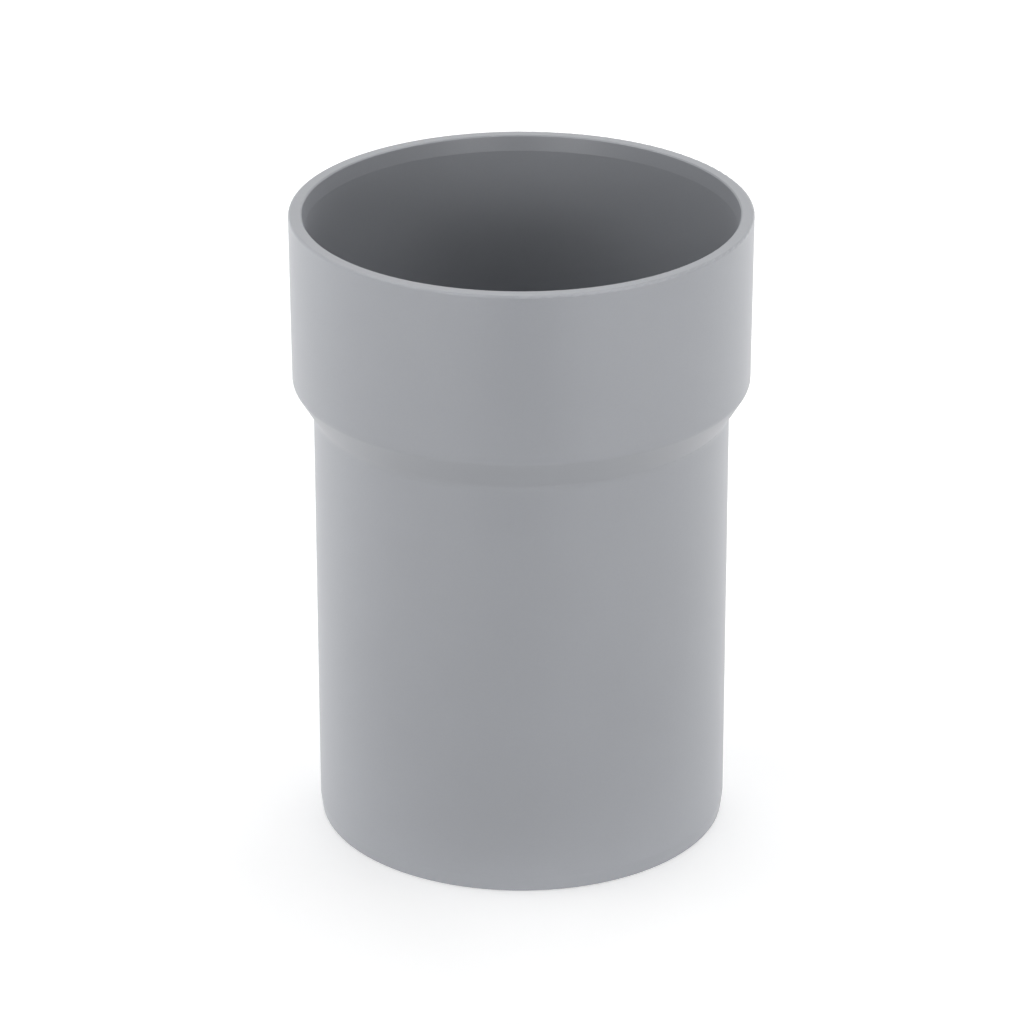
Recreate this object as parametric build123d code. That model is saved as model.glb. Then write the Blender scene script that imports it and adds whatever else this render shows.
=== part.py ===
from build123d import *
from math import radians, tan
import os

# Pipe socket moulded in one piece: a plain spigot, a conical shoulder and a wider socket, open right through.
# Millimetres, +Z up along the pipe's axis, origin at the centre of the spigot's end face.

# Pipe that the socket takes, and that the spigot stands for in the next socket
PIPE_DIAMETER = 110.0

# Spigot, the plain lower end
SPIGOT_LENGTH = 116.6
SPIGOT_WALL = 3.2
SPIGOT_CHAMFER_LENGTH = 4.2
SPIGOT_CHAMFER_ANGLE = 7.5
FOOT_EDGE_BREAK = 0.3

# Shoulder, the cone between spigot and socket
SHOULDER_LENGTH = 8.9
SHOULDER_NECK_ROUND = 4.0
SHOULDER_KNEE_ROUND = 2.5

# Socket, outside
SOCKET_DRAFT_ANGLE = 0.355
LIP_WIDTH = 3.45
LIP_OUTER_ROUND = 0.7
LIP_INNER_BREAK = 0.3

# Socket, inside: stop ledge, cylindrical seat, moulded taper and lead-in at the mouth
SOCKET_DEPTH = 48.0
STOP_BELOW_KNEE = 1.8
STOP_EDGE_BREAK = 0.5
SEAT_CLEARANCE = 0.25
SEAT_LENGTH = 15.0
SEAT_BLEND_ROUND = 120.0
SOCKET_TAPER_ANGLE = 2.7
LEAD_IN_LENGTH = 4.25
LEAD_IN_ANGLE = 9.8


def flare(length, angle):
    """Radius gained over a length of wall that leans out by an angle in degrees."""
    return length * tan(radians(angle))


# Heights, from the spigot's end up
knee_z = SPIGOT_LENGTH + SHOULDER_LENGTH
stop_z = knee_z - STOP_BELOW_KNEE
seat_top_z = stop_z + SEAT_LENGTH
mouth_z = stop_z + SOCKET_DEPTH
lead_in_z = mouth_z - LEAD_IN_LENGTH

# Radii of the spigot
pipe_radius = PIPE_DIAMETER / 2
bore_radius = pipe_radius - SPIGOT_WALL
foot_radius = pipe_radius - flare(SPIGOT_CHAMFER_LENGTH, SPIGOT_CHAMFER_ANGLE)

# Radii of the socket, from the seat out to the lip and back down the outside
seat_radius = pipe_radius + SEAT_CLEARANCE
lead_in_radius = seat_radius + flare(lead_in_z - seat_top_z, SOCKET_TAPER_ANGLE)
mouth_radius = lead_in_radius + flare(LEAD_IN_LENGTH, LEAD_IN_ANGLE)
lip_radius = mouth_radius + LIP_WIDTH
knee_radius = lip_radius - flare(mouth_z - knee_z, SOCKET_DRAFT_ANGLE)

# Corners of the wall's section: radius, height and rounding
outside_corners = [
    (foot_radius - FOOT_EDGE_BREAK, 0, 0),
    (foot_radius + flare(FOOT_EDGE_BREAK, SPIGOT_CHAMFER_ANGLE), FOOT_EDGE_BREAK, 0),
    (pipe_radius, SPIGOT_CHAMFER_LENGTH, 0),
    (pipe_radius, SPIGOT_LENGTH, SHOULDER_NECK_ROUND),
    (knee_radius, knee_z, SHOULDER_KNEE_ROUND),
    (lip_radius, mouth_z, LIP_OUTER_ROUND),
]
inside_corners = [
    (mouth_radius + LIP_INNER_BREAK, mouth_z, 0),
    (mouth_radius - flare(LIP_INNER_BREAK, LEAD_IN_ANGLE), mouth_z - LIP_INNER_BREAK, 0),
    (lead_in_radius, lead_in_z, 0),
    (seat_radius, seat_top_z, SEAT_BLEND_ROUND),
    (seat_radius, stop_z, 0),
    (bore_radius + STOP_EDGE_BREAK, stop_z, 0),
    (bore_radius, stop_z - STOP_EDGE_BREAK, 0),
    (bore_radius, FOOT_EDGE_BREAK, 0),
    (bore_radius + FOOT_EDGE_BREAK, 0, 0),
]
corners = outside_corners + inside_corners

section_outline = FilletPolyline(
    [(radius, height) for radius, height, rounding in corners],
    radius=[rounding for radius, height, rounding in corners],
    close=True,
)
section = Plane.XZ * make_face(section_outline)
pipe_socket = revolve(section, axis=Axis.Z)

os.makedirs("parts", exist_ok=True)
export_step(pipe_socket, "parts/pipe_socket.step")
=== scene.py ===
import math

import bpy
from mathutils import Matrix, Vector


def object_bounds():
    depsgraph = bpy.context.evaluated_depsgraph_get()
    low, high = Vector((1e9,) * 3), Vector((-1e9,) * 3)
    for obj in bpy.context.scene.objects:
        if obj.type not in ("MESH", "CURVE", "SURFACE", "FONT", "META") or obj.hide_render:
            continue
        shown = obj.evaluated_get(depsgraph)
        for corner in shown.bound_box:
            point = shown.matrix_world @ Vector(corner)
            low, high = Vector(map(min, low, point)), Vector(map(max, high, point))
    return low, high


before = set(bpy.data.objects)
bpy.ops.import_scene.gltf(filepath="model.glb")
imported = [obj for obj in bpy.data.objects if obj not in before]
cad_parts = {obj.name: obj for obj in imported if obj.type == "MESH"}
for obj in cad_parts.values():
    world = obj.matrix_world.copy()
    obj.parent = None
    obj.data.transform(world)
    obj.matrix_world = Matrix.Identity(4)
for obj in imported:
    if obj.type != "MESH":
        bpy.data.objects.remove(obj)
cad_low, cad_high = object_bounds()

# Object: the one moulded piece, in metres
PIECE = "pipe_socket"
socket_height = cad_high.z - cad_low.z

# Plastic: cool mid grey with a satin moulded skin, sizes and heights in metres
PLASTIC_GREY = (0.315, 0.325, 0.348)
PLASTIC_ROUGHNESS = 0.36
PLASTIC_IOR = 1.52
CLOUD_SIZE = 0.030
CLOUD_DETAIL = 3.0
CLOUD_DEPTH = 0.03
GRAIN_SIZE = 0.0006
GRAIN_DETAIL = 2.0
GRAIN_DEPTH = 0.02
SKIN_SIZE = 0.0009
SKIN_DETAIL = 3.0
SKIN_HEIGHT = 0.000012
ROUGHNESS_SPREAD = 0.05

# Camera, facing along +Y and pitched down at the object: place in metres, angles in degrees
CAMERA_PLACE = (-0.00254, -1.2369, 0.6384)
CAMERA_PITCH_DOWN = 24.084
CAMERA_ROLL = -0.086
CAMERA_LENS_MM = 178.10
CAMERA_SENSOR_MM = 36.0

# Floor and surround: white, the floor lifted a little where it is seen, up to plain white far out
SURROUND_WHITE = 1.0
FLOOR_HALF_WIDTH = 6.0
FLOOR_WHITE = 0.9
FLOOR_LIFT = 0.273
FLOOR_LIFT_FAR = 1.0
FLOOR_LIFT_RISE = (0.4, 1.5)

# Dark cards that lie on the floor in front and take light off the shoulder and the middle of the wall:
# half width, reach in front of the axis and height above the floor, in metres, then the grey that diffuse
# light meets and the strength of white in gloss
CARDS = {
    "near_card": {"half_width": 0.18, "reach": (0.066, 0.30), "height": 0.0002, "grey": 0.18, "gloss": 1.1},
    "far_card": {"half_width": 0.30, "reach": (0.30, 0.90), "height": 0.0002, "grey": 0.01, "gloss": 1.0},
    "far_stripe": {"half_width": 0.14, "reach": (0.30, 0.90), "height": 0.0004, "grey": 0.01, "gloss": 0.0},
}

# Soft boxes by bearing from the camera's side and rise above level, in degrees, with their sizes in metres
# and their power in watts
BOX_DISTANCE = 1.35
SOFT_BOXES = {
    "top": {"bearing": 0.0, "rise": 90.0, "size": (0.6, 0.6), "watts": 1.70},
    "back": {"bearing": 180.0, "rise": 55.0, "size": (0.8, 0.8), "watts": 5.40},
    "left_low": {"bearing": -95.0, "rise": 0.0, "size": (0.6, 0.13), "watts": 5.40},
}
SOFT_BOX_PAIRS = {
    "front": {"bearing": 25.0, "rise": 9.0, "size": (0.6, 0.42), "left": 3.46, "right": 2.76},
    "front_low": {"bearing": 50.0, "rise": 0.0, "size": (0.6, 0.13), "left": 2.40, "right": 6.25},
    "front_high": {"bearing": 50.0, "rise": 28.0, "size": (0.7, 0.7), "left": 2.75, "right": 1.80},
    "side_high": {"bearing": 95.0, "rise": 55.0, "size": (0.8, 0.8), "left": 4.80, "right": 4.95},
    "back_side": {"bearing": 140.0, "rise": 9.0, "size": (0.9, 0.42), "left": 2.75, "right": 7.00},
}

# Soft boxes that light the object but do not show in its gloss
NOT_IN_GLOSS = ("left_low", "front_low", "back_side")


def link(tree, source, target):
    """Joins two node sockets."""
    tree.links.new(source, target)


def add_node(tree, kind, **settings):
    """A new node with its settings."""
    node = tree.nodes.new(kind)
    for name, value in settings.items():
        setattr(node, name, value)
    return node


def noise_texture(tree, place, feature_size, detail):
    """Noise whose features are about feature_size metres across."""
    noise = add_node(tree, "ShaderNodeTexNoise")
    noise.inputs["Scale"].default_value = 1.0 / feature_size
    noise.inputs["Detail"].default_value = detail
    link(tree, place, noise.inputs["Vector"])
    return noise.outputs["Fac"]


def map_range(tree, value, low, high):
    """A zero-to-one value spread over low to high."""
    spread = add_node(tree, "ShaderNodeMapRange")
    spread.inputs["To Min"].default_value = low
    spread.inputs["To Max"].default_value = high
    link(tree, value, spread.inputs["Value"])
    return spread.outputs["Result"]


def combine(tree, operation, first, second):
    """Two node values joined by a maths operation."""
    result = add_node(tree, "ShaderNodeMath", operation=operation)
    link(tree, first, result.inputs[0])
    link(tree, second, result.inputs[1])
    return result.outputs["Value"]


def mix_shaders(tree, share, first, second):
    """The first shader where the share is zero, and the second where it is one."""
    mix = add_node(tree, "ShaderNodeMixShader")
    link(tree, share, mix.inputs["Fac"])
    link(tree, first, mix.inputs[1])
    link(tree, second, mix.inputs[2])
    return mix.outputs["Shader"]


def plain_grey(level):
    """A colour with no tint."""
    return (level, level, level, 1.0)


def empty_material(name):
    """A new material with no nodes, and its node tree."""
    material = bpy.data.materials.new(name)
    material.use_nodes = True
    material.node_tree.nodes.clear()
    return material, material.node_tree


def set_surface(tree, shader, output_kind="ShaderNodeOutputMaterial"):
    """Makes a shader the one that is shown."""
    output = add_node(tree, output_kind)
    link(tree, shader, output.inputs["Surface"])


def moulded_plastic():
    """Grey PVC: faint clouding and grain in the colour, an uneven satin and a fine skin."""
    material, tree = empty_material("moulded_grey_pvc")
    place = add_node(tree, "ShaderNodeTexCoord").outputs["Object"]

    clouds = noise_texture(tree, place, CLOUD_SIZE, CLOUD_DETAIL)
    grain = noise_texture(tree, place, GRAIN_SIZE, GRAIN_DETAIL)
    skin = noise_texture(tree, place, SKIN_SIZE, SKIN_DETAIL)

    cloud_shade = map_range(tree, clouds, 1.0 - CLOUD_DEPTH, 1.0 + CLOUD_DEPTH)
    grain_shade = map_range(tree, grain, 1.0 - GRAIN_DEPTH, 1.0 + GRAIN_DEPTH)
    shade = combine(tree, "MULTIPLY", cloud_shade, grain_shade)
    colour = add_node(tree, "ShaderNodeVectorMath", operation="SCALE")
    colour.inputs[0].default_value = PLASTIC_GREY
    link(tree, shade, colour.inputs["Scale"])

    bump = add_node(tree, "ShaderNodeBump")
    bump.inputs["Distance"].default_value = SKIN_HEIGHT
    link(tree, skin, bump.inputs["Height"])

    smoothest = PLASTIC_ROUGHNESS - ROUGHNESS_SPREAD
    roughest = PLASTIC_ROUGHNESS + ROUGHNESS_SPREAD
    roughness = map_range(tree, clouds, smoothest, roughest)

    shader = add_node(tree, "ShaderNodeBsdfPrincipled")
    shader.inputs["IOR"].default_value = PLASTIC_IOR
    link(tree, colour.outputs["Vector"], shader.inputs["Base Color"])
    link(tree, roughness, shader.inputs["Roughness"])
    link(tree, bump.outputs["Normal"], shader.inputs["Normal"])
    set_surface(tree, shader.outputs["BSDF"])
    return material


def seen_directly(tree):
    """One for rays that show the studio itself: from the camera, in gloss and through glass."""
    path = add_node(tree, "ShaderNodeLightPath")
    opaque = combine(tree, "MAXIMUM", path.outputs["Is Camera Ray"], path.outputs["Is Glossy Ray"])
    return combine(tree, "MAXIMUM", opaque, path.outputs["Is Transmission Ray"])


def white_floor_material():
    """White floor that keeps the object's shadow and, where it is seen, is lifted to plain white far out."""
    material, tree = empty_material("white_floor")
    diffuse = add_node(tree, "ShaderNodeBsdfDiffuse")
    diffuse.inputs["Color"].default_value = plain_grey(FLOOR_WHITE)

    distance = add_node(tree, "ShaderNodeVectorMath", operation="LENGTH")
    link(tree, add_node(tree, "ShaderNodeTexCoord").outputs["Object"], distance.inputs[0])
    rise = add_node(tree, "ShaderNodeMapRange", interpolation_type="SMOOTHSTEP")
    rise.inputs["From Min"].default_value, rise.inputs["From Max"].default_value = FLOOR_LIFT_RISE
    rise.inputs["To Min"].default_value = FLOOR_LIFT
    rise.inputs["To Max"].default_value = FLOOR_LIFT_FAR
    link(tree, distance.outputs["Value"], rise.inputs["Value"])

    lift = add_node(tree, "ShaderNodeEmission")
    strength = combine(tree, "MULTIPLY", rise.outputs["Result"], seen_directly(tree))
    link(tree, strength, lift.inputs["Strength"])
    both = add_node(tree, "ShaderNodeAddShader")
    link(tree, diffuse.outputs["BSDF"], both.inputs[0])
    link(tree, lift.outputs["Emission"], both.inputs[1])
    set_surface(tree, both.outputs["Shader"])
    return material


def dark_card_material(name, grey, gloss):
    """Dark from above to diffuse light, as white as told in gloss, and clear to camera, lamps and floor."""
    material, tree = empty_material(name)
    material.cycles.emission_sampling = "NONE"
    path = add_node(tree, "ShaderNodeLightPath")
    dark = add_node(tree, "ShaderNodeBsdfDiffuse")
    dark.inputs["Color"].default_value = plain_grey(grey)
    white = add_node(tree, "ShaderNodeEmission")
    white.inputs["Strength"].default_value = gloss
    clear = add_node(tree, "ShaderNodeBsdfTransparent")

    to_object = mix_shaders(
        tree, path.outputs["Is Glossy Ray"], dark.outputs["BSDF"], white.outputs["Emission"]
    )
    camera_or_lamp = combine(tree, "MAXIMUM", path.outputs["Is Camera Ray"], path.outputs["Is Shadow Ray"])
    from_below = add_node(tree, "ShaderNodeNewGeometry").outputs["Backfacing"]
    let_through = combine(tree, "MAXIMUM", camera_or_lamp, from_below)
    set_surface(tree, mix_shaders(tree, let_through, to_object, clear.outputs["BSDF"]))
    return material


def add_sheet(name, x_range, y_range, height, material):
    """A flat level sheet of the stage."""
    (left, right), (front, back) = x_range, y_range
    corners = [(left, front), (right, front), (right, back), (left, back)]
    mesh = bpy.data.meshes.new(name)
    mesh.from_pydata([(x, y, height) for x, y in corners], [], [(0, 1, 2, 3)])
    mesh.materials.append(material)
    sheet = bpy.data.objects.new(name, mesh)
    bpy.context.scene.collection.objects.link(sheet)


def add_floor():
    """The wide floor that the object stands on, and the cards that lie on it in front."""
    wide = (-FLOOR_HALF_WIDTH, FLOOR_HALF_WIDTH)
    add_sheet("floor", wide, wide, cad_low.z, white_floor_material())
    for name, card in CARDS.items():
        across = (-card["half_width"], card["half_width"])
        near, far = card["reach"]
        material = dark_card_material(name, card["grey"], card["gloss"])
        add_sheet(name, across, (-far, -near), cad_low.z + card["height"], material)


def add_surround():
    """Plain white surround: it is seen, also in gloss, and leaves the lighting to the soft boxes."""
    world = bpy.data.worlds.new("surround")
    world.use_nodes = True
    tree = world.node_tree
    tree.nodes.clear()
    background = add_node(tree, "ShaderNodeBackground")
    background.inputs["Color"].default_value = plain_grey(SURROUND_WHITE)
    link(tree, seen_directly(tree), background.inputs["Strength"])
    set_surface(tree, background.outputs["Background"], "ShaderNodeOutputWorld")
    bpy.context.scene.world = world


def add_soft_box(name, bearing, rise, size, watts, in_gloss):
    """An area lamp that faces the object's middle from the given bearing and rise."""
    bearing, rise = math.radians(bearing), math.radians(rise)
    level = math.cos(rise)
    toward = Vector((math.sin(bearing) * level, -math.cos(bearing) * level, math.sin(rise)))
    lamp = bpy.data.lights.new(name, "AREA")
    lamp.shape = "RECTANGLE"
    lamp.size, lamp.size_y = size
    lamp.energy = watts
    holder = bpy.data.objects.new(name, lamp)
    holder.location = Vector((0.0, 0.0, cad_low.z + socket_height / 2)) + toward * BOX_DISTANCE
    holder.rotation_euler = (-toward).to_track_quat("-Z", "Y").to_euler()
    holder.visible_camera = False
    holder.visible_glossy = in_gloss
    bpy.context.scene.collection.objects.link(holder)


def add_soft_boxes():
    """The single boxes, and the pairs that stand left and right at one bearing."""
    for name, box in SOFT_BOXES.items():
        in_gloss = name not in NOT_IN_GLOSS
        add_soft_box(name, box["bearing"], box["rise"], box["size"], box["watts"], in_gloss)
    for name, pair in SOFT_BOX_PAIRS.items():
        in_gloss = name not in NOT_IN_GLOSS
        rise, size = pair["rise"], pair["size"]
        add_soft_box(f"{name}_left", -pair["bearing"], rise, size, pair["left"], in_gloss)
        add_soft_box(f"{name}_right", pair["bearing"], rise, size, pair["right"], in_gloss)


def add_camera():
    """The viewing place, with a long lens."""
    data = bpy.data.cameras.new("camera")
    data.lens = CAMERA_LENS_MM
    data.sensor_width = CAMERA_SENSOR_MM
    camera = bpy.data.objects.new("camera", data)
    camera.location = CAMERA_PLACE
    camera.rotation_mode = "ZXY"
    camera.rotation_euler = (math.radians(90.0 - CAMERA_PITCH_DOWN), 0.0, math.radians(CAMERA_ROLL))
    bpy.context.scene.collection.objects.link(camera)
    bpy.context.scene.camera = camera


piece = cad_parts[PIECE]
piece.data.materials.clear()
piece.data.materials.append(moulded_plastic())
add_floor()
add_surround()
add_soft_boxes()
add_camera()
bpy.context.scene.view_settings.view_transform = "Standard"
